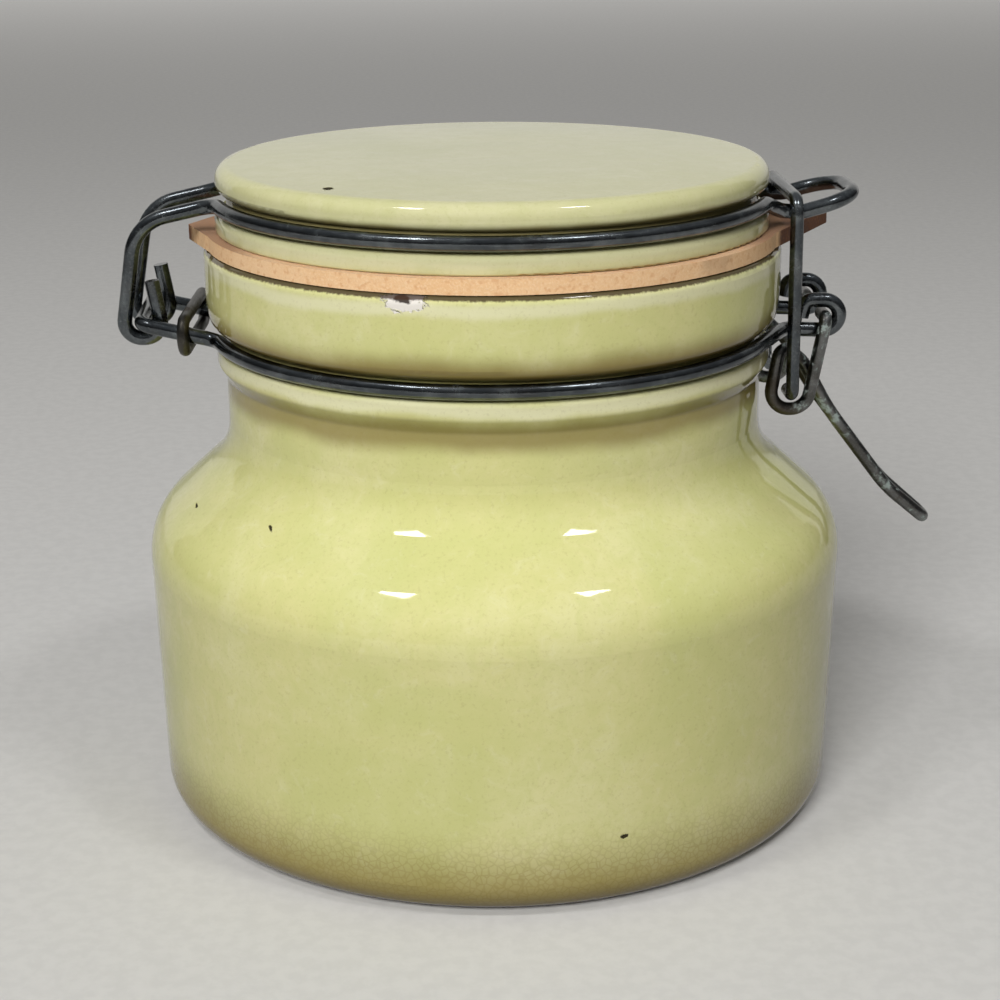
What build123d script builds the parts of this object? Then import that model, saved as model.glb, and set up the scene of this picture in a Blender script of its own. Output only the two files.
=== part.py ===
from build123d import *
from math import cos, radians, sin
import os

os.makedirs("parts", exist_ok=True)

# Lengths in mm. Origin on the underside's centre, z up, clasp towards +x, hinge towards -x.
BELLY_R = 66.0
NECK_R = 50.0
FOOT_INSET = 1.4
BEAD_OUT = 1.6
GROOVE_OUT = 0.1
COLLAR_OUT = 3.3
NECK_WALL = 6.2
WALL_THICK = 5.2
FLOOR_THICK = 6.0
INNER_DRAFT = 1.2
INNER_DROP = 2.0
SHOULDER_Z = 54.0
SHOULDER_RISE = 14.5
NECK_HIGH = 13.9
BEAD_SLOPE = 2.6
BEAD_HIGH = 3.2
GROOVE_HIGH = 3.5
COLLAR_HIGH = 14.8
COLLAR_LOW_IN = 0.7
COLLAR_BEND_UP = 5.0

FOOT_ROUND = 5.8
SHOULDER_ROUND = 13.0
NECK_FOOT_ROUND = 11.0
BEAD_ROUND = 1.2
COLLAR_LOW_ROUND = 2.5
COLLAR_BEND_ROUND = 20.0
RIM_ROUND = 1.8
INNER_ROUND = 8.0
GROOVE_ROUND = 0.3
LIP_DRAFT = 0.2

GASKET_THICK = 2.7
GASKET_INSET = 0.6
BORE_GAP = 0.6
TAB_OUT = 15.6
TAB_TIP_Y = 15.5
TAB_ROOT_DEG = -20.0
TAB_ROOT_DEEP = 7.1
TAB_SIDE_Y = 12.9
TAB_SIDE_OUT = 4.3
TAB_ROUND = 4.0
EAR_OUT = 3.5
EAR_TIP_Y = 1.5
EAR_LOW_DEG = 198.0
EAR_HIGH_DEG = 166.0
EAR_ROUND = 0.8
ROOT_IN = 0.4

FLANGE_THICK = 3.6
LID_GROOVE_HIGH = 3.5
DISC_THICK = 4.7
CROWN_RISE = 0.5
CROWN_FLAT_R = 30.0
CROWN_THICK = 6.0
PLUG_DEEP = 6.2
PLUG_GAP = 2.3
PLUG_WALL = 5.5
WAIST_IN = 1.2
FLANGE_OUT = 2.2
DISC_OUT = 1.9
FLANGE_ROUND = 1.7
FLANGE_LOW_ROUND = 0.5
DISC_LOW_ROUND = 1.5
DISC_TOP_ROUND = 2.6
CROWN_ROUND = 600.0
PLUG_ROUND = 1.5
RECESS_ROUND = 3.0

WIRE_D = 2.7
LINK_D = 2.4
CLIP_WIRE_D = 2.2
NECK_RING_GAP = 0.25
LID_RING_GAP = 0.65
NECK_RING_REST = 0.5
LID_RING_REST = 0.45
LINK_GAP = 0.25
FLAT_LEFT = 0.03

HINGE_OUT = 12.7
HINGE_UP = 3.25
HINGE_BEND = 2.2
NECK_STRAND_Y = 11.3
NECK_LEAVE_DEG = 197.4
STRAND_BEND = 3.0
LID_STRAND_Y = 9.4
LID_LEAVE_DEG = 197.5
LID_STRAND_BEND = 4.5
HOOK_Y = 7.7
HOOK_HALF = 3.8
HOOK_DROP = 3.3
HOOK_END_IN = 2.0
HOOK_END_UP = 7.3
HOOK_TOP_OUT = 0.2
HOOK_TOP_DROP = 3.2
HOOK_BEND = 3.0
HOOK_TOP_BEND = 8.0
CLIP_GAP = 0.35
CLIP_SHARE = 0.382
CLIP_SKEW = 0.05

PIN_OUT = 9.0
PIN_UP = 2.35
PIN_END_Y = 6.8
PIN_BEND = 1.5
EYE_Y = 9.2
EYE_LEAVE_DEG = 333.0
EYE_R = 2.9
EYE_BEND = 3.5
EYE_TAIL_IN = 3.5
EYE_TIP_IN = 4.1
EYE_TIP_DROP = 0.2
TIGHT_BEND = 1.6

LEVER_Y = 12.0
LOOP_DROP = 17.0
LOOP_OUTER_IN = 3.2
LOOP_INNER_IN = 10.4
LOOP_TOP_IN = 8.2
LOOP_TOP_DROP = 4.4
LOOP_BEND = 3.4
STRAND_TOP_Y = 9.4
STRAND_TOP_IN = 3.5
STRAND_TOP_DROP = 8.6
STRAND_TOP_BEND = 6.0
STRAND_MID_Y = 9.0
STRAND_MID_OUT = 1.4
STRAND_MID_DROP = 17.6
STRAND_MID_BEND = 30.0
STRAND_LOW_Y = 4.0
STRAND_LOW_OUT = 9.2
STRAND_LOW_UP = 3.4
STRAND_LOW_BEND = 30.0
HANDLE_END_Y = 2.0
HANDLE_END_OUT = 17.4
HANDLE_END_DROP = 3.7
HANDLE_END_BEND = 1.8

BAR_OUT = 3.3
BAR_UP = 0.2
BAR_BEND = 3.0
BAIL_PIN_IN = 6.3
BAIL_PIN_DROP = 13.8
BAIL_PIN_END_Y = 9.6

TONGUE_Y = 10.3
TONGUE_LEAVE_DEG = 338.0
TONGUE_RUN = 2.2
TONGUE_STEP_IN = 3.7
TONGUE_STEP_UP = 0.2
NOTCH_OUT = 1.7
NOTCH_DROP = 2.9
TIP_OUT = 10.2
TIP_UP = 2.7
TONGUE_BEND = 5.0
STEP_BEND = 2.5
TIP_BEND = 7.0

FOOT_CORNER_R = BELLY_R - FOOT_INSET
BEAD_R = NECK_R + BEAD_OUT
GROOVE_R = NECK_R + GROOVE_OUT
COLLAR_R = NECK_R + COLLAR_OUT
MOUTH_R = NECK_R - NECK_WALL
NECK_FOOT_Z = SHOULDER_Z + SHOULDER_RISE
BEAD_FOOT_Z = NECK_FOOT_Z + NECK_HIGH
BEAD_LOW_Z = BEAD_FOOT_Z + BEAD_SLOPE
BEAD_TOP_Z = BEAD_LOW_Z + BEAD_HIGH
COLLAR_LOW_Z = BEAD_TOP_Z + GROOVE_HIGH
RIM_Z = COLLAR_LOW_Z + COLLAR_HIGH

PLUG_R = MOUTH_R - PLUG_GAP
RECESS_R = PLUG_R - PLUG_WALL
GASKET_R = COLLAR_R - GASKET_INSET
GASKET_BORE_R = PLUG_R + BORE_GAP
GASKET_TOP_Z = RIM_Z + GASKET_THICK
WAIST_R = NECK_R - WAIST_IN
FLANGE_R = WAIST_R + FLANGE_OUT
DISC_R = WAIST_R + DISC_OUT
FLANGE_TOP_Z = GASKET_TOP_Z + FLANGE_THICK
DISC_LOW_Z = FLANGE_TOP_Z + LID_GROOVE_HIGH
DISC_TOP_Z = DISC_LOW_Z + DISC_THICK

NECK_RING_R = GROOVE_R + WIRE_D / 2 + NECK_RING_GAP
NECK_RING_Z = BEAD_TOP_Z + WIRE_D / 2 + NECK_RING_REST
LID_RING_R = WAIST_R + WIRE_D / 2 + LID_RING_GAP
LID_RING_Z = FLANGE_TOP_Z + WIRE_D / 2 + LID_RING_REST
HINGE_X = -NECK_RING_R - HINGE_OUT
HINGE_Z = NECK_RING_Z + HINGE_UP
PIN_X = NECK_RING_R + PIN_OUT
PIN_Z = NECK_RING_Z + PIN_UP
BAIL_Y = LEVER_Y + LINK_D + LINK_GAP
BAIL_BAR_X = LID_RING_R + BAR_OUT
BAIL_BAR_Z = LID_RING_Z + BAR_UP
BAIL_PIN_X = PIN_X - BAIL_PIN_IN
BAIL_PIN_Z = PIN_Z - BAIL_PIN_DROP
NOTCH_X = BAIL_BAR_X + NOTCH_OUT
NOTCH_Z = BAIL_BAR_Z - NOTCH_DROP


def save(shape, name):
    shape.label = name
    export_step(shape, f"parts/{name}.step")
    print(name, round(shape.volume), "mm3", len(shape.solids()), "solid")


def turned(points, radii):
    outline = FilletPolyline(*points, radius=radii)
    axis = Line(points[-1], points[0])
    face = make_face(Plane.XZ * (outline + axis))
    return revolve(face, Axis.Z)


def round_bar(route, diameter):
    end = Plane(origin=route @ 0, z_dir=route % 0)
    return sweep(end * Circle(diameter / 2), path=route)


def both_sides(half):
    return half + mirror(half, Plane.XZ)


def on_ring(ring_r, degrees, z):
    return Vector(ring_r * cos(radians(degrees)), ring_r * sin(radians(degrees)), z)


def off_ring(ring_r, degrees, z, run):
    along = Vector(-sin(radians(degrees)), cos(radians(degrees)), 0)
    return on_ring(ring_r, degrees, z) + along * run


def off_ring_to_y(ring_r, degrees, z, y):
    start = on_ring(ring_r, degrees, z)
    return off_ring(ring_r, degrees, z, (y - start.Y) / cos(radians(degrees)))


def ring_part(ring_r, low_deg, high_deg, z):
    middle = on_ring(ring_r, (low_deg + high_deg) / 2, z)
    return ThreePointArc(on_ring(ring_r, low_deg, z), middle, on_ring(ring_r, high_deg, z))


def make_jar_body():
    inner_r = BELLY_R - WALL_THICK
    points = [
        (0, 0), (FOOT_CORNER_R, 0), (BELLY_R, SHOULDER_Z), (NECK_R, NECK_FOOT_Z),
        (NECK_R, BEAD_FOOT_Z), (BEAD_R, BEAD_LOW_Z), (BEAD_R, BEAD_TOP_Z),
        (GROOVE_R, BEAD_TOP_Z + LIP_DRAFT), (GROOVE_R, COLLAR_LOW_Z),
        (COLLAR_R - COLLAR_LOW_IN, COLLAR_LOW_Z + LIP_DRAFT), (COLLAR_R, COLLAR_LOW_Z + COLLAR_BEND_UP),
        (COLLAR_R, RIM_Z), (MOUTH_R, RIM_Z),
        (MOUTH_R, NECK_FOOT_Z), (inner_r, SHOULDER_Z - INNER_DROP),
        (inner_r - INNER_DRAFT, FLOOR_THICK), (0, FLOOR_THICK),
    ]
    radii = [
        FOOT_ROUND, SHOULDER_ROUND, NECK_FOOT_ROUND, BEAD_ROUND, BEAD_ROUND, BEAD_ROUND, GROOVE_ROUND,
        GROOVE_ROUND, COLLAR_LOW_ROUND, COLLAR_BEND_ROUND, RIM_ROUND, RIM_ROUND,
        INNER_ROUND, INNER_ROUND, INNER_ROUND,
    ]
    return turned(points, radii)


def gasket_edge(degrees):
    spot = on_ring(GASKET_R - ROOT_IN, degrees, 0)
    return (spot.X, spot.Y)


def gasket_ear(near_side, tip, far_side, corner_r):
    ear = make_face(Polyline(near_side, tip, *far_side, near_side))
    return fillet(ear.vertices().sort_by_distance((*tip, 0))[0], corner_r)


def make_gasket():
    tab_tip = (GASKET_R + TAB_OUT, TAB_TIP_Y)
    tab_side = [(GASKET_R + TAB_SIDE_OUT, TAB_SIDE_Y), (GASKET_R - TAB_ROOT_DEEP, TAB_SIDE_Y)]
    ear_tip = (-GASKET_R - EAR_OUT, EAR_TIP_Y)
    pull_tab = gasket_ear(gasket_edge(TAB_ROOT_DEG), tab_tip, tab_side, TAB_ROUND)
    hinge_ear = gasket_ear(gasket_edge(EAR_LOW_DEG), ear_tip, [gasket_edge(EAR_HIGH_DEG)], EAR_ROUND)
    flat = Circle(GASKET_R) + pull_tab + hinge_ear - Circle(GASKET_BORE_R)
    return Pos(0, 0, RIM_Z) * extrude(flat, GASKET_THICK)


def make_lid():
    recess_z = DISC_TOP_Z - CROWN_THICK
    plug_z = GASKET_TOP_Z - PLUG_DEEP
    points = [
        (0, recess_z), (RECESS_R, recess_z), (RECESS_R, plug_z), (PLUG_R, plug_z),
        (PLUG_R, GASKET_TOP_Z), (FLANGE_R, GASKET_TOP_Z), (FLANGE_R, FLANGE_TOP_Z),
        (WAIST_R, FLANGE_TOP_Z + LIP_DRAFT), (WAIST_R, DISC_LOW_Z), (DISC_R, DISC_LOW_Z + LIP_DRAFT),
        (DISC_R, DISC_TOP_Z), (CROWN_FLAT_R, DISC_TOP_Z + CROWN_RISE), (0, DISC_TOP_Z + CROWN_RISE),
    ]
    radii = [
        RECESS_ROUND, PLUG_ROUND, PLUG_ROUND, GROOVE_ROUND, FLANGE_LOW_ROUND, FLANGE_ROUND,
        GROOVE_ROUND, GROOVE_ROUND, DISC_LOW_ROUND, DISC_TOP_ROUND, CROWN_ROUND,
    ]
    return turned(points, radii)


def make_neck_wire():
    z = NECK_RING_Z
    hinge = FilletPolyline(
        (HINGE_X, 0, HINGE_Z), (HINGE_X, -NECK_STRAND_Y, HINGE_Z),
        off_ring_to_y(NECK_RING_R, NECK_LEAVE_DEG, z, -NECK_STRAND_Y),
        on_ring(NECK_RING_R, NECK_LEAVE_DEG, z), radius=[HINGE_BEND, STRAND_BEND],
    )
    low_z = PIN_Z - EYE_R
    top_z = PIN_Z + EYE_R
    eye = FilletPolyline(
        on_ring(NECK_RING_R, EYE_LEAVE_DEG, z), off_ring_to_y(NECK_RING_R, EYE_LEAVE_DEG, z, -EYE_Y),
        (PIN_X + EYE_R, -EYE_Y, low_z), (PIN_X + EYE_R, -EYE_Y, top_z),
        (PIN_X - EYE_TAIL_IN, -EYE_Y, top_z), (PIN_X - EYE_TIP_IN, -EYE_Y, PIN_Z - EYE_TIP_DROP),
        radius=[EYE_BEND, EYE_R - FLAT_LEFT, EYE_R - FLAT_LEFT, TIGHT_BEND],
    )
    ring = ring_part(NECK_RING_R, NECK_LEAVE_DEG, EYE_LEAVE_DEG, z)
    route = Wire(hinge.edges() + ring.edges() + eye.edges())
    return both_sides(round_bar(route, WIRE_D))


def make_lid_wire():
    z = LID_RING_Z
    hook_z = HINGE_Z - HOOK_DROP
    hook = FilletPolyline(
        (HINGE_X + HOOK_END_IN, -HOOK_Y, HINGE_Z + HOOK_END_UP),
        (HINGE_X + HOOK_HALF, -HOOK_Y, hook_z), (HINGE_X - HOOK_HALF, -HOOK_Y, hook_z),
        (HINGE_X - HOOK_TOP_OUT, -LID_STRAND_Y, LID_RING_Z - HOOK_TOP_DROP),
        off_ring_to_y(LID_RING_R, LID_LEAVE_DEG, z, -LID_STRAND_Y),
        on_ring(LID_RING_R, LID_LEAVE_DEG, z),
        radius=[HOOK_BEND, HOOK_BEND, HOOK_TOP_BEND, LID_STRAND_BEND],
    )
    tip_x = NOTCH_X + TIP_OUT
    tip_z = NOTCH_Z + TIP_UP
    tongue = FilletPolyline(
        on_ring(LID_RING_R, TONGUE_LEAVE_DEG, z), off_ring(LID_RING_R, TONGUE_LEAVE_DEG, z, TONGUE_RUN),
        (NOTCH_X - TONGUE_STEP_IN, -TONGUE_Y, NOTCH_Z + TONGUE_STEP_UP), (NOTCH_X, -TONGUE_Y, NOTCH_Z),
        (tip_x, -TONGUE_Y, tip_z), (tip_x, 0, tip_z),
        radius=[TONGUE_BEND, STEP_BEND, TONGUE_BEND, TIP_BEND],
    )
    ring = ring_part(LID_RING_R, LID_LEAVE_DEG, TONGUE_LEAVE_DEG, z)
    route = Wire(hook.edges() + ring.edges() + tongue.edges())
    return both_sides(round_bar(route, WIRE_D))


def make_hinge_collar():
    half_high = WIRE_D / 2 + CLIP_WIRE_D / 2 + CLIP_GAP
    half_long = NECK_STRAND_Y + half_high
    turn = off_ring_to_y(NECK_RING_R, NECK_LEAVE_DEG, NECK_RING_Z, -NECK_STRAND_Y)
    corner = Vector(HINGE_X, -NECK_STRAND_Y, HINGE_Z)
    spot = turn + (corner - turn) * CLIP_SHARE
    flat = Plane(origin=(spot.X, 0, spot.Z), x_dir=(CLIP_SKEW, 1, 0), z_dir=(1, -CLIP_SKEW, 0))
    corners = [
        (-half_long, -half_high), (half_long, -half_high), (half_long, half_high), (-half_long, half_high),
    ]
    route = flat * FilletPolyline(*corners, radius=half_high - FLAT_LEFT, close=True)
    return round_bar(Wire(route.edges()), CLIP_WIRE_D)


def make_lever():
    loop_z = PIN_Z - LOOP_DROP
    end_x = BELLY_R + HANDLE_END_OUT
    end_z = SHOULDER_Z - HANDLE_END_DROP
    route = FilletPolyline(
        (PIN_X, -PIN_END_Y, PIN_Z), (PIN_X, -LEVER_Y, PIN_Z),
        (PIN_X - LOOP_OUTER_IN, -LEVER_Y, loop_z), (PIN_X - LOOP_INNER_IN, -LEVER_Y, loop_z),
        (PIN_X - LOOP_TOP_IN, -LEVER_Y, PIN_Z - LOOP_TOP_DROP),
        (PIN_X - STRAND_TOP_IN, -STRAND_TOP_Y, PIN_Z - STRAND_TOP_DROP),
        (PIN_X + STRAND_MID_OUT, -STRAND_MID_Y, PIN_Z - STRAND_MID_DROP),
        (BELLY_R + STRAND_LOW_OUT, -STRAND_LOW_Y, SHOULDER_Z + STRAND_LOW_UP),
        (end_x, -HANDLE_END_Y, end_z), (end_x, 0, end_z),
        radius=[
            PIN_BEND, LOOP_BEND, LOOP_BEND, TIGHT_BEND, STRAND_TOP_BEND,
            STRAND_MID_BEND, STRAND_LOW_BEND, HANDLE_END_BEND,
        ],
    )
    return both_sides(round_bar(route, LINK_D))


def make_bail():
    route = FilletPolyline(
        (BAIL_PIN_X, -BAIL_PIN_END_Y, BAIL_PIN_Z), (BAIL_PIN_X, -BAIL_Y, BAIL_PIN_Z),
        (BAIL_BAR_X, -BAIL_Y, BAIL_BAR_Z), (BAIL_BAR_X, 0, BAIL_BAR_Z),
        radius=[TIGHT_BEND, BAR_BEND],
    )
    return both_sides(round_bar(route, LINK_D))


save(make_jar_body(), "jar_body")
save(make_gasket(), "gasket")
save(make_lid(), "lid")
save(make_neck_wire(), "neck_wire")
save(make_lid_wire(), "lid_wire")
save(make_hinge_collar(), "hinge_collar")
save(make_lever(), "lever")
save(make_bail(), "bail")
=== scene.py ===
import bpy
import math
from mathutils import Matrix, Vector

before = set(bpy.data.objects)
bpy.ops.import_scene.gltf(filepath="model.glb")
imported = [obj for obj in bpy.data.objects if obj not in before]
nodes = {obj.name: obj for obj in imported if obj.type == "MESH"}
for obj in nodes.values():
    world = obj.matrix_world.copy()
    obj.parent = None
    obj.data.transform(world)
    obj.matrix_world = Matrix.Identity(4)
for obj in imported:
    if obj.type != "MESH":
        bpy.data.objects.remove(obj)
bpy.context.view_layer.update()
print("frame loaded", sorted(nodes))


# Small tools for a material's nodes. A value may be a number, a colour or another node's output.

def addNode(tree, kind, inputs=None, **settings):
    made = tree.nodes.new(kind)
    for key, value in settings.items():
        setattr(made, key, value)
    for key, value in (inputs or {}).items():
        if isinstance(value, bpy.types.NodeSocket):
            tree.links.new(value, made.inputs[key])
        else:
            made.inputs[key].default_value = value
    return made


def calc(tree, operation, a, b=0.0, clamp=False):
    made = addNode(tree, "ShaderNodeMath", {0: a, 1: b}, operation=operation, use_clamp=clamp)
    return made.outputs[0]


def plus(tree, a, b):
    return calc(tree, "ADD", a, b)


def times(tree, a, b):
    return calc(tree, "MULTIPLY", a, b)


def stretch(tree, place, factors):
    made = addNode(tree, "ShaderNodeVectorMath", {0: place, 1: factors}, operation="MULTIPLY")
    return made.outputs["Vector"]


def lengthOf(tree, vector):
    return addNode(tree, "ShaderNodeVectorMath", {0: vector}, operation="LENGTH").outputs["Value"]


def splitUp(tree, vector):
    return addNode(tree, "ShaderNodeSeparateXYZ", {0: vector}).outputs


def blend(tree, share, a, b):
    return addNode(tree, "ShaderNodeMix", {0: share, 6: a, 7: b}, data_type="RGBA").outputs[2]


def blendValue(tree, share, a, b):
    return addNode(tree, "ShaderNodeMix", {0: share, 2: a, 3: b}).outputs[0]


def noise(tree, place, scale, detail, rough, warp=0.0):
    sizes = {
        "Vector": place, "Scale": scale, "Detail": detail, "Roughness": rough, "Distortion": warp,
    }
    return addNode(tree, "ShaderNodeTexNoise", sizes).outputs["Fac"]


def fade(tree, value, low, high, lowValue=0.0, highValue=1.0):
    limits = {
        "Value": value, "From Min": low, "From Max": high, "To Min": lowValue, "To Max": highValue,
    }
    made = addNode(tree, "ShaderNodeMapRange", limits, interpolation_type="SMOOTHSTEP")
    return made.outputs[0]


def band(tree, value, low, high, soft):
    rise = fade(tree, value, low - soft, low + soft)
    fall = fade(tree, value, high - soft, high + soft, 1.0, 0.0)
    return times(tree, rise, fall)


def startMaterial(name):
    made = bpy.data.materials.new(name)
    made.use_nodes = True
    tree = made.node_tree
    tree.nodes.clear()
    place = addNode(tree, "ShaderNodeTexCoord").outputs["Object"]
    return made, tree, place


def endMaterial(tree, shaderInputs):
    shader = addNode(tree, "ShaderNodeBsdfPrincipled", shaderInputs)
    addNode(tree, "ShaderNodeOutputMaterial", {"Surface": shader.outputs[0]})


def bumps(tree, layers):
    # one bump over the other, each a height and its depth in metres
    normal = None
    for height, depth in layers:
        inputs = {"Strength": 1.0, "Distance": depth, "Height": height}
        if normal is not None:
            inputs["Normal"] = normal
        normal = addNode(tree, "ShaderNodeBump", inputs).outputs[0]
    return normal


def radiusOf(tree, place):
    return lengthOf(tree, stretch(tree, place, (1, 1, 0)))


def spot(tree, place, centre, size, ragged, edge=0.25, lean=0.0):
    # 1 inside an uneven spot of that half size in metres, 0 outside it
    turned = {"Vector": place, "Location": centre, "Rotation": (0, lean, 0), "Scale": size}
    away = addNode(tree, "ShaderNodeMapping", turned, vector_type="TEXTURE").outputs[0]
    return fade(tree, plus(tree, lengthOf(tree, away), ragged), 1.0 - edge, 1.0 + edge, 1.0, 0.0)


# Pools are pooled glaze with painted shade; thins are thinner glaze with painted highlight.
# The glaze of the body and of the lid: one recipe, two sets of colours.
# Pools and thins are bands up the jar: low edge, high edge, softness, strength.
# Pinholes are a centre, a half size and a lean. Chips are a centre and a half size.

bodyGlaze = {
    "main": (0.660, 0.634, 0.280, 1),
    "green": (0.590, 0.595, 0.235, 1),
    "pale": (0.715, 0.690, 0.365, 1),
    "pooledAndShade": (0.240, 0.175, 0.042, 1),
    "thinAndHighlight": (0.780, 0.760, 0.495, 1),
    # Painted shade: the pools darken the foot, the neck just under the bead and the underside of
    # the collar.
    "poolsAndShade": [
        (-0.010, 0.0095, 0.0080, 0.92),
        (0.0792, 0.0844, 0.0018, 0.75),
        (0.0908, 0.0950, 0.0024, 0.95),
    ],
    # Painted highlight: the thins lighten the bead and the top edge of the collar.
    "thinsAndHighlights": [(0.0856, 0.0880, 0.0009, 0.85), (0.1030, 0.1052, 0.0008, 0.75)],
    "pinholes": [
        ((-0.0554, -0.0185, 0.0611), (0.0009, 0.0009, 0.0003), 0.9),
        ((-0.0407, -0.0387, 0.0631), (0.0009, 0.0009, 0.0003), 0.9),
        ((0.0192, -0.0620, 0.0138), (0.0006, 0.0005, 0.0004), 0.0),
        ((0.0210, 0.0600, 0.0440), (0.0008, 0.0008, 0.0004), 0.5),
    ],
    "chips": [((-0.0168, -0.0507, 0.1052), (0.0037, 0.0037, 0.0017))],
    "crazing": {"scale": 820.0, "line": 0.16, "dark": 0.38, "full": 0.004, "gone": 0.020},
    # Painted shadow under the edge of the seal.
    "rimShadow": {"low": 0.1056, "inner": 0.0521, "dark": 0.9, "colour": (0.045, 0.020, 0.010, 1)},
    "bareFoot": {
        "clay": (0.46, 0.36, 0.24, 1), "darkClay": (0.36, 0.28, 0.18, 1),
        "full": 0.0002, "gone": 0.0007, "rough": 0.8,
    },
}

lidGlaze = {
    "main": (0.580, 0.563, 0.305, 1),
    "green": (0.535, 0.533, 0.262, 1),
    "pale": (0.635, 0.615, 0.365, 1),
    "pooledAndShade": (0.300, 0.240, 0.085, 1),
    "thinAndHighlight": (0.680, 0.650, 0.430, 1),
    # Painted shade: the pools darken the waist under the disc and the crease where the flange meets
    # the seal.
    "poolsAndShade": [(0.1133, 0.1172, 0.0006, 0.80), (0.1080, 0.1097, 0.0006, 0.55)],
    "thinsAndHighlights": [(0.1107, 0.1124, 0.0006, 0.35)],
    "pinholes": [
        ((-0.0290, -0.0338, 0.1210), (0.0008, 0.0013, 0.0012), 0.0),
        ((-0.0304, -0.0397, 0.1190), (0.0005, 0.0006, 0.0005), 0.0),
    ],
    "chips": [],
}

# Each noise is its scale per metre, detail, roughness and warp. The depths are in metres.

glazeGrain = {
    "cloud": (30.0, 4.0, 0.6, 0.5),
    "drift": (48.0, 4.0, 0.55),
    "mottle": (280.0, 4.0, 0.7, 0.8),
    "freckle": (1500.0, 2.0, 0.7),
    "ragged": (900.0, 3.0, 0.6),
    "polish": (140.0, 3.0, 0.6),
    "clayGrit": (700.0, 4.0, 0.7),
    "waves": (55.0, 2.0, 0.5),
    "peel": (320.0, 2.0, 0.5),
    "waveDepth": 0.00012,
    "peelDepth": 0.000012,
    "dentDepth": 0.00018,
    "driftSquash": (1, 1, 0.7),
    "wander": 0.0008,
    "smooth": (0.035, 0.075),
    "index": 1.46,
}
marks = {
    "hole": (0.035, 0.028, 0.012, 1), "holeRough": 0.9,
    "chip": (0.80, 0.76, 0.70, 1), "chipRough": 0.7, "chipEdge": 0.12, "chipDepth": 1.5,
    "core": (0.060, 0.048, 0.040, 1), "coreShift": (-0.0002, 0, 0.0005), "coreShare": 0.40,
}


def glazeMaterial(name, look):
    made, tree, place = startMaterial(name)
    grain = glazeGrain
    level = splitUp(tree, place)["Z"]
    cloud = noise(tree, place, *grain["cloud"])
    drift = noise(tree, stretch(tree, place, grain["driftSquash"]), *grain["drift"])
    freckle = noise(tree, place, *grain["freckle"])
    mottle = noise(tree, place, *grain["mottle"])
    colour = blend(tree, fade(tree, cloud, 0.34, 0.62), look["green"], look["main"])
    colour = blend(tree, fade(tree, drift, 0.40, 0.72, 0.0, 0.60), colour, look["pale"])
    colour = blend(tree, fade(tree, mottle, 0.42, 0.66, 0.0, 0.42), colour, look["green"])
    colour = blend(tree, fade(tree, mottle, 0.28, 0.46, 0.20, 0.0), colour, look["thinAndHighlight"])

    # Thin glaze and painted highlight on the raised rings, pooled glaze and painted shade in the
    # grooves and round the foot. The edge of each band wanders a little.
    wander = fade(tree, drift, 0.2, 0.8, -grain["wander"], grain["wander"])
    height = plus(tree, level, wander)
    for bands, shade in ((look["thinsAndHighlights"], look["thinAndHighlight"]), (look["poolsAndShade"], look["pooledAndShade"])):
        for low, high, soft, most in bands:
            share = times(tree, band(tree, height, low, high, soft), most)
            colour = blend(tree, share, colour, shade)
    colour = blend(tree, fade(tree, freckle, 0.52, 0.76, 0.0, 0.15), colour, look["pooledAndShade"])

    # A fine web of cracks shows towards the foot.
    crazing = look.get("crazing")
    if crazing:
        cells = {"Vector": place, "Scale": crazing["scale"]}
        web = addNode(tree, "ShaderNodeTexVoronoi", cells, feature="DISTANCE_TO_EDGE")
        crack = fade(tree, web.outputs["Distance"], 0.0, crazing["line"], crazing["dark"], 0.0)
        upTo = fade(tree, height, crazing["full"], crazing["gone"], 1.0, 0.0)
        colour = blend(tree, times(tree, crack, upTo), colour, look["pooledAndShade"])

    ragged = fade(tree, noise(tree, place, *grain["ragged"]), 0.2, 0.8, -0.35, 0.35)
    gloss = fade(tree, noise(tree, place, *grain["polish"]), 0.3, 0.7, *grain["smooth"])
    dent = 0.0
    for centre, size, lean in look["pinholes"]:
        hole = spot(tree, place, centre, size, ragged, lean=lean)
        colour = blend(tree, hole, colour, marks["hole"])
        dent = plus(tree, dent, hole)
        gloss = blendValue(tree, hole, gloss, marks["holeRough"])
    for centre, size in look["chips"]:
        chip = spot(tree, place, centre, size, ragged, marks["chipEdge"])
        middle = tuple(c + s for c, s in zip(centre, marks["coreShift"]))
        core = spot(tree, place, middle, tuple(marks["coreShare"] * s for s in size), ragged)
        colour = blend(tree, chip, colour, marks["chip"])
        colour = blend(tree, core, colour, marks["core"])
        dent = plus(tree, dent, times(tree, chip, marks["chipDepth"]))
        gloss = blendValue(tree, chip, gloss, marks["chipRough"])

    # Painted shadow: a dark line round the rim, just outside the seal, where the seal overhangs the
    # gap.
    stain = look.get("rimShadow")
    if stain:
        low, inner = stain["low"], stain["inner"]
        uneven = plus(tree, level, fade(tree, freckle, 0.3, 0.7, -0.0001, 0.0001))
        above = fade(tree, uneven, low - 0.0002, low + 0.0002)
        outside = fade(tree, radiusOf(tree, place), inner - 0.0008, inner - 0.0002)
        share = times(tree, times(tree, above, outside), stain["dark"])
        colour = blend(tree, share, colour, stain["colour"])

    # The underside that the jar stands on is bare, rubbed clay.
    foot = look.get("bareFoot")
    if foot:
        bare = fade(tree, level, foot["full"], foot["gone"], 1.0, 0.0)
        grit = fade(tree, noise(tree, place, *grain["clayGrit"]), 0.35, 0.65)
        colour = blend(tree, bare, colour, blend(tree, grit, foot["clay"], foot["darkClay"]))
        gloss = blendValue(tree, bare, gloss, foot["rough"])

    normal = bumps(tree, [
        (noise(tree, place, *grain["waves"]), grain["waveDepth"]),
        (noise(tree, place, *grain["peel"]), grain["peelDepth"]),
        (times(tree, dent, -1.0), grain["dentDepth"]),
    ])
    endMaterial(tree, {
        "Base Color": colour, "Roughness": gloss, "IOR": grain["index"], "Normal": normal,
    })
    return made


# The seal: sandy orange rubber, with painted shade: pinker and darker on its flat faces, dark brown
# on the tab and the ear.

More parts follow.
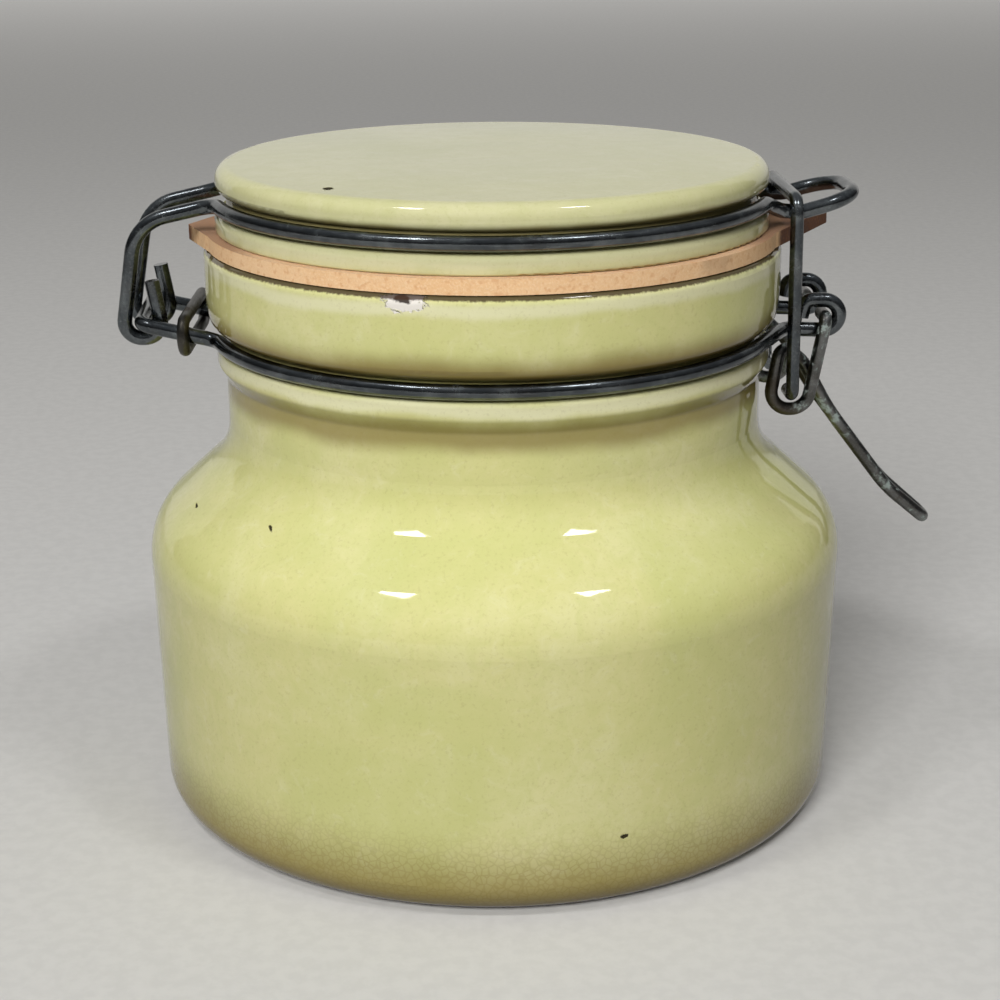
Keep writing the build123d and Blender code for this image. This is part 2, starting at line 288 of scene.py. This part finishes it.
sealLook = {
    "main": (0.840, 0.530, 0.280, 1),
    "shadedFlat": (0.640, 0.400, 0.260, 1),
    "dark": (0.700, 0.375, 0.180, 1),
    "grain": (0.910, 0.640, 0.390, 1),
    # Painted shade: near black on the cut walls, brown on the flat faces of the tab and the ear.
    "shadedCutEdge": (0.110, 0.035, 0.012, 1),
    "shadedFlatEnd": (0.300, 0.160, 0.100, 1),
    "fine": (2600.0, 2.0, 0.6),
    "coarse": (900.0, 2.0, 0.5),
    "blotch": (70.0, 3.0, 0.6),
    "grainDepth": 0.00006,
    "blotchDepth": 0.0002,
    "rough": (0.55, 0.75),
    "shine": 0.35,
    "tabFrom": (0.0528, 0.0537),
    "earFrom": (-0.0560, -0.0550),
    "endsFrom": (0.040, 0.048),
}


def sealMaterial():
    made, tree, place = startMaterial("sealRubber")
    look = sealLook
    across = splitUp(tree, place)["X"]
    fine = noise(tree, place, *look["fine"])
    coarse = noise(tree, place, *look["coarse"])
    blotch = noise(tree, place, *look["blotch"])

    # The seal's own direction tells its flat faces from its walls, at any pose of the lid; the flat
    # faces get a darker pink as painted shade.
    facing = splitUp(tree, addNode(tree, "ShaderNodeTexCoord").outputs["Normal"])["Z"]
    flat = fade(tree, calc(tree, "ABSOLUTE", facing), 0.7, 0.95)
    colour = blend(tree, fade(tree, blotch, 0.35, 0.7, 0.0, 0.5), look["main"], look["grain"])
    colour = blend(tree, times(tree, flat, 0.75), colour, look["shadedFlat"])
    colour = blend(tree, fade(tree, fine, 0.42, 0.70, 0.0, 0.8), colour, look["grain"])
    colour = blend(tree, fade(tree, coarse, 0.30, 0.48, 0.6, 0.0), colour, look["dark"])

    # Painted shade darkens the tab, the tip of the ear and the flat faces near both ends, most on
    # the cut edges.
    uneven = fade(tree, blotch, 0.3, 0.7, -0.0004, 0.0004)
    front = fade(tree, across, -0.001, 0.001)
    tab = fade(tree, plus(tree, radiusOf(tree, place), uneven), *look["tabFrom"])
    ear = fade(tree, plus(tree, across, uneven), *look["earFrom"], 1.0, 0.0)
    ends = fade(tree, calc(tree, "ABSOLUTE", across), *look["endsFrom"])
    paintedShade = calc(tree, "MAXIMUM", times(tree, tab, front), ear)
    paintedShade = calc(tree, "MAXIMUM", paintedShade, times(tree, times(tree, flat, ends), 0.8))
    shadeColour = blend(tree, flat, look["shadedCutEdge"], look["shadedFlatEnd"])
    shadeColour = blend(tree, fade(tree, fine, 0.45, 0.75, 0.0, 0.25), shadeColour, look["dark"])
    endMaterial(tree, {
        "Base Color": blend(tree, paintedShade, colour, shadeColour),
        "Roughness": fade(tree, fine, 0.3, 0.7, *look["rough"]),
        "Specular IOR Level": look["shine"],
        "Normal": bumps(tree, [
            (fine, look["grainDepth"]), (coarse, look["grainDepth"]), (blotch, look["blotchDepth"]),
        ]),
    })
    return made


# The wires: drawn steel gone dark, with lighter rubbed runs, brown stains and pale chalky spots.

ringWire = {
    "dark": (0.078, 0.087, 0.094, 1),
    "bright": (0.320, 0.340, 0.350, 1),
    "stain": (0.075, 0.056, 0.042, 1),
    "stained": 0.15, "rubbed": 0.32, "chalk": 0.10, "smooth": 0.17,
}
clipWire = {
    "dark": (0.055, 0.052, 0.046, 1),
    "bright": (0.170, 0.160, 0.140, 1),
    "stain": (0.090, 0.070, 0.048, 1),
    "stained": 0.75, "rubbed": 0.40, "chalk": 0.0, "smooth": 0.36,
}
leverWire = {
    "dark": (0.100, 0.098, 0.092, 1),
    "bright": (0.320, 0.330, 0.330, 1),
    "stain": (0.095, 0.074, 0.056, 1),
    "stained": 0.60, "rubbed": 0.55, "chalk": 0.95, "smooth": 0.27,
}
wireGrain = {
    "scratch": (2200.0, 3.0, 0.7),
    "patch": (120.0, 4.0, 0.6, 0.6),
    "pit": (1400.0, 2.0, 0.6),
    "brown": (95.0, 4.0, 0.7),
    "chalk": (480.0, 4.0, 0.75),
    "chalkColour": (0.33, 0.39, 0.37, 1),
    "perTurn": 0.004,
    "spread": 0.08,
    "scratchDepth": 0.000006,
    "pitDepth": 0.000012,
}


def wireMaterial(name, look):
    made, tree, place = startMaterial(name)
    grain = wireGrain
    parts = splitUp(tree, place)

    # Squeezed round the ring, so that the scratches run along the wire.
    angle = calc(tree, "ARCTAN2", parts["Y"], parts["X"])
    run = {0: times(tree, angle, grain["perTurn"]), 1: radiusOf(tree, place), 2: parts["Z"]}
    drawn = addNode(tree, "ShaderNodeCombineXYZ", run).outputs[0]
    scratch = noise(tree, drawn, *grain["scratch"])
    patch = noise(tree, place, *grain["patch"])
    pit = noise(tree, place, *grain["pit"])
    rubbed = times(tree, fade(tree, patch, 0.40, 0.72), look["rubbed"])
    colour = blend(tree, rubbed, look["dark"], look["bright"])
    colour = blend(tree, fade(tree, scratch, 0.48, 0.75, 0.0, 0.35), colour, look["bright"])
    brown = fade(tree, noise(tree, place, *grain["brown"]), 0.50, 0.66)
    stain = times(tree, brown, look["stained"])
    colour = blend(tree, stain, colour, look["stain"])
    chalk = fade(tree, noise(tree, place, *grain["chalk"]), 0.51, 0.62)
    chalk = times(tree, times(tree, chalk, fade(tree, patch, 0.45, 0.53)), look["chalk"])
    colour = blend(tree, chalk, colour, grain["chalkColour"])
    rough = fade(tree, scratch, 0.3, 0.7, look["smooth"], look["smooth"] + grain["spread"])
    rough = plus(tree, rough, times(tree, stain, 0.30))
    rough = plus(tree, rough, times(tree, chalk, 0.35))
    endMaterial(tree, {
        "Base Color": colour,
        "Metallic": calc(tree, "SUBTRACT", 1.0, times(tree, chalk, 0.8), clamp=True),
        "Roughness": rough,
        "Normal": bumps(tree, [(scratch, grain["scratchDepth"]), (pit, grain["pitDepth"])]),
    })
    return made


def dress(name, material):
    mesh = nodes[name].data
    mesh.materials.clear()
    mesh.materials.append(material)


dress("jar_body", glazeMaterial("bodyGlaze", bodyGlaze))
dress("lid", glazeMaterial("lidGlaze", lidGlaze))
dress("gasket", sealMaterial())
steel = wireMaterial("ringSteel", ringWire)
for name in ("neck_wire", "lid_wire", "bail"):
    dress(name, steel)
dress("hinge_collar", wireMaterial("clipSteel", clipWire))
dress("lever", wireMaterial("leverSteel", leverWire))
print("materials made")


# Pale floor that curves up into a backdrop, soft light from the front, two small lamps high up.
# Paper and air are what is seen of the room. The glows are the light that it sends to the jar.

room = {
    "half": 3.0, "back": 2.2, "front": -3.0, "bend": 0.8, "bendSteps": 12, "top": 2.6,
    "paper": (0.64, 0.63, 0.61, 1), "fibre": (300.0, 3.0, 0.6), "fibreTone": 0.95,
    "paperGlow": (0.125, 0.105, 0.07, 1),
    "wallGlow": 0.75, "wallFrom": 0.6, "wallFull": 3.2,
    "airLow": (0.05, 0.05, 0.05, 1), "airHigh": (0.30, 0.31, 0.32, 1),
    "airGlow": (0.110, 0.110, 0.108, 1),
}
lamps = [
    ("softFront", (-0.500, -1.830, 1.40), 1.1, 0.8, 51.0, False),
    ("windowLeft", (-0.586, -0.430, 1.37), 0.20, 0.15, 3.2, True),
    ("windowRight", (0.545, -0.478, 1.37), 0.20, 0.15, 2.7, True),
]
lampAim = (0, 0, 0.06)
view = {
    "lens": 75.6, "sensor": 36.0, "roll": -0.4,
    "eye": (-0.01647, -0.38590, 0.17871), "aim": (0.00105, -0.00005, 0.05492),
}


def seenDirectly(tree):
    # 1 for what the camera, a gloss or a glass shows of the room, 0 for the light that it sends out
    path = addNode(tree, "ShaderNodeLightPath").outputs
    seen = plus(tree, path["Is Camera Ray"], path["Is Glossy Ray"])
    return calc(tree, "ADD", seen, path["Is Transmission Ray"], clamp=True)


def paperMaterial():
    made, tree, place = startMaterial("floorPaper")
    fibre = fade(tree, noise(tree, place, *room["fibre"]), 0.35, 0.65)
    tone = tuple(room["fibreTone"] * c for c in room["paper"][:3]) + (1,)
    seen = seenDirectly(tree)
    colour = blend(tree, seen, room["paperGlow"], blend(tree, fibre, room["paper"], tone))
    depth = splitUp(tree, place)["Y"]
    wall = fade(tree, depth, room["wallFrom"], room["wallFull"], 0.0, room["wallGlow"])
    endMaterial(tree, {
        "Base Color": colour, "Roughness": 0.9, "Specular IOR Level": 0.2,
        "Emission Color": room["paper"], "Emission Strength": times(tree, wall, seen),
    })
    return made


def makeBackdrop():
    back, bend, steps = room["back"], room["bend"], room["bendSteps"]
    line = [(room["front"], 0.0)]
    for step in range(steps + 1):
        turn = math.radians(90 * step / steps)
        line.append((back + bend * math.sin(turn), bend * (1 - math.cos(turn))))
    line.append((back + bend, room["top"]))
    points = [(side * room["half"], y, z) for y, z in line for side in (-1, 1)]
    faces = [(2 * i, 2 * i + 1, 2 * i + 3, 2 * i + 2) for i in range(len(line) - 1)]
    mesh = bpy.data.meshes.new("floorSheet")
    mesh.from_pydata(points, [], faces)
    mesh.polygons.foreach_set("use_smooth", [True] * len(faces))
    mesh.materials.append(paperMaterial())
    sheet = bpy.data.objects.new("floorSheet", mesh)
    bpy.context.scene.collection.objects.link(sheet)


def turnTowards(place, aim):
    return (Vector(aim) - Vector(place)).to_track_quat("-Z", "Y")


def addLamp(name, place, width, tall, watts, inGloss):
    data = bpy.data.lights.new(name, "AREA")
    data.shape = "RECTANGLE"
    data.size = width
    data.size_y = tall
    data.energy = watts
    lamp = bpy.data.objects.new(name, data)
    lamp.location = place
    lamp.rotation_euler = turnTowards(place, lampAim).to_euler()
    lamp.visible_glossy = inGloss
    bpy.context.scene.collection.objects.link(lamp)


def makeAir():
    world = bpy.data.worlds.new("roomLight")
    world.use_nodes = True
    tree = world.node_tree
    tree.nodes.clear()
    way = addNode(tree, "ShaderNodeTexCoord").outputs["Generated"]
    height = splitUp(tree, way)["Z"]
    sight = blend(tree, fade(tree, height, 0.0, 0.9), room["airLow"], room["airHigh"])
    glow = blend(tree, seenDirectly(tree), room["airGlow"], sight)
    sky = addNode(tree, "ShaderNodeBackground", {"Color": glow, "Strength": 1.0})
    addNode(tree, "ShaderNodeOutputWorld", {"Surface": sky.outputs[0]})
    bpy.context.scene.world = world


def setCamera():
    data = bpy.data.cameras.new("photoCamera")
    data.lens = view["lens"]
    data.sensor_width = view["sensor"]
    camera = bpy.data.objects.new("photoCamera", data)
    camera.location = view["eye"]
    turn = turnTowards(camera.location, view["aim"]).to_matrix().to_4x4()
    roll = Matrix.Rotation(math.radians(view["roll"]), 4, "Z")
    camera.rotation_euler = (turn @ roll).to_euler()
    bpy.context.scene.collection.objects.link(camera)
    bpy.context.scene.camera = camera


makeBackdrop()
for lamp in lamps:
    addLamp(*lamp)
makeAir()
setCamera()
bpy.context.scene.view_settings.view_transform = "Standard"
print("room and camera set")
